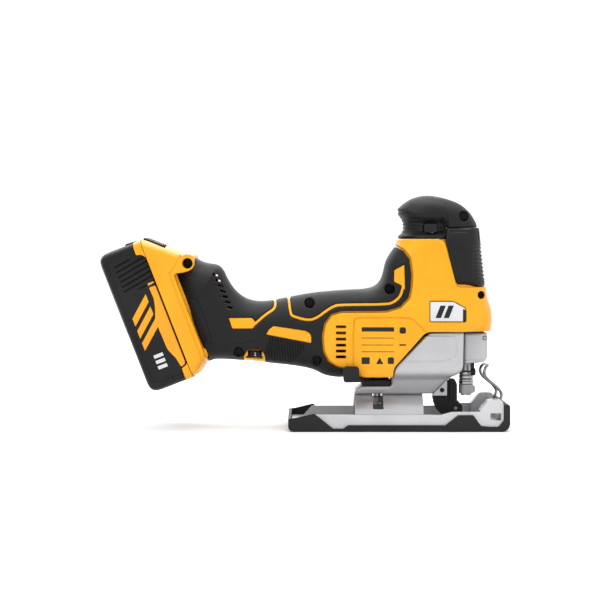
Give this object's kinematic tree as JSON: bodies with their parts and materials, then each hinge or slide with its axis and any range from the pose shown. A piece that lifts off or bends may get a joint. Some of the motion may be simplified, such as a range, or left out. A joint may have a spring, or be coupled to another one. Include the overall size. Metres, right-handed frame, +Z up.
{
  "type": "cordless jigsaw",
  "caption": "Cordless body-grip jigsaw with barrel handle, palm knob, slide-on battery, tilting shoe, blade clamp and guide roller.",
  "frame": {"origin": "middle of the sole's flat underside", "axes": "+X towards the nose and blade, +Y to the tool's left, +Z up, away from the work"},
  "size_m": [0.3143, 0.0784, 0.1816],
  "materials": {
    "yellow_plastic": "warm yellow nylon, satin moulded",
    "rubber": "black soft-touch overmould, fine matt grain",
    "black_plastic": "black moulded plastic, fine texture",
    "silver_paint": "die-cast, painted light silver",
    "steel": "turned and ground steel",
    "chrome": "bright plated wire",
    "copper": "wound copper on laminations",
    "brass": "sintered bronze bush",
    "lens": "clear lens",
    "battery_plastic": "black moulded pack case",
    "cells": "metal cell cans"
  },
  "bodies": {
    "body": {"housing_right": "yellow_plastic", "housing_left": "yellow_plastic", "grip_overmold_right": "rubber", "grip_overmold_left": "rubber", "front_grip": "rubber", "knob_right": "rubber", "knob_left": "rubber", "gear_case": "silver_paint", "plunger_guide": "silver_paint", "lever_pin": "steel", "motor_stator": "copper", "motor_bearing_front": "steel", "motor_bearing_rear": "steel", "plunger_bush_upper": "brass", "plunger_bush_lower": "brass", "gear_axle": "steel", "control_module": "black_plastic", "switch_module": "black_plastic", "terminal_block": "black_plastic", "led_housing": "black_plastic", "led_lens": "lens", "roller_arm_bracket": "silver_paint", "housing_screw_1": "steel", "housing_screw_2": "steel", "housing_screw_3": "steel", "housing_screw_4": "steel", "housing_screw_5": "steel", "housing_screw_6": "steel", "housing_screw_7": "steel"},
    "rotor": {"rotor": "steel", "cooling_fan": "black_plastic", "pinion": "steel"},
    "gear": {"drive_gear": "steel", "crank_pin": "steel"},
    "plunger": {"plunger": "steel", "clamp_body": "silver_paint", "clamp_spring": "steel"},
    "clamp_collar": {"clamp_collar": "black_plastic"},
    "release_lever": {"blade_release_lever": "silver_paint"},
    "roller_arm": {"roller_arm": "black_plastic", "roller_axle": "steel"},
    "roller": {"guide_roller": "steel"},
    "orbit_lever": {"orbit_lever": "black_plastic"},
    "switch": {"switch_button": "black_plastic"},
    "dial": {"speed_dial": "black_plastic"},
    "bevel_lever": {"bevel_lever": "black_plastic", "bevel_clamp_bolt": "steel"},
    "shoe": {"shoe": "silver_paint", "bevel_bracket": "silver_paint", "sole_cover": "black_plastic", "splinter_insert": "black_plastic", "finger_guard": "chrome", "bracket_screw_1": "steel", "bracket_screw_2": "steel", "bracket_screw_3": "steel", "bracket_screw_4": "steel"},
    "battery": {"battery_case_lower": "battery_plastic", "battery_case_upper": "battery_plastic", "cell_block": "cells"},
    "latch": {"battery_latch": "battery_plastic"}
  },
  "joints": [
    {"name": "motor_spin", "type": "hinge", "parent": "body", "child": "rotor", "pos_m": [-0.035, 0, 0.075], "axis": [1, 0, 0], "continuous": true},
    {"name": "gear_spin", "type": "hinge", "parent": "body", "child": "gear", "pos_m": [0.034, 0, 0.101], "axis": [1, 0, 0], "continuous": true},
    {"name": "plunger_slide", "type": "slide", "parent": "body", "child": "plunger", "axis": [0, 0, 1], "range_m": [-0.005, 0.021]},
    {"name": "collar_turn", "type": "hinge", "parent": "plunger", "child": "clamp_collar", "pos_m": [0.055, 0, 0.03], "axis": [0, 0, 1], "range_deg": [0, 30]},
    {"name": "release_lever_pull", "type": "hinge", "parent": "body", "child": "release_lever", "pos_m": [0.0675, 0, 0.0705], "axis": [0, -1, 0], "range_deg": [0, 40], "stiffness_Nm_per_rad": 0.3},
    {"name": "roller_arm_swing", "type": "hinge", "parent": "body", "child": "roller_arm", "pos_m": [0.0354, 0, 0.0292], "axis": [0, -1, 0], "range_deg": [0, 4]},
    {"name": "roller_spin", "type": "hinge", "parent": "roller_arm", "child": "roller", "pos_m": [0.0465, 0, 0.0144], "axis": [0, 1, 0], "continuous": true},
    {"name": "orbit_lever_turn", "type": "hinge", "parent": "body", "child": "orbit_lever", "pos_m": [0.018, 0.032, 0.056], "axis": [0, -1, 0], "range_deg": [0, 90]},
    {"name": "switch_push", "type": "slide", "parent": "body", "child": "switch", "axis": [0, 1, 0], "range_m": [0, 0.005]},
    {"name": "dial_turn", "type": "hinge", "parent": "body", "child": "dial", "pos_m": [-0.1103, -0.0135, 0.058], "axis": [0, 0, 1], "range_deg": [0, 270]},
    {"name": "bevel_lever_turn", "type": "hinge", "parent": "body", "child": "bevel_lever", "pos_m": [-0.015, 0, 0.038], "axis": [0, 0, 1], "range_deg": [0, 40]},
    {"name": "shoe_bevel", "type": "hinge", "parent": "body", "child": "shoe", "pos_m": [0, 0, 0.002], "axis": [1, 0, 0], "range_deg": [-45, 45]},
    {"name": "battery_slide", "type": "slide", "parent": "body", "child": "battery", "axis": [-0.3616, 0, 0.9323], "range_m": [0, 0.11]},
    {"name": "latch_press", "type": "slide", "parent": "battery", "child": "latch", "axis": [0.3616, 0, -0.9323], "range_m": [0, 0.0035], "stiffness_N_per_m": 400}
  ],
  "couplings": [
    {"joint": "gear_spin", "follows": "motor_spin", "ratio": -0.25},
    {"joint": "collar_turn", "follows": "release_lever_pull", "ratio": 0.75}
  ]
}
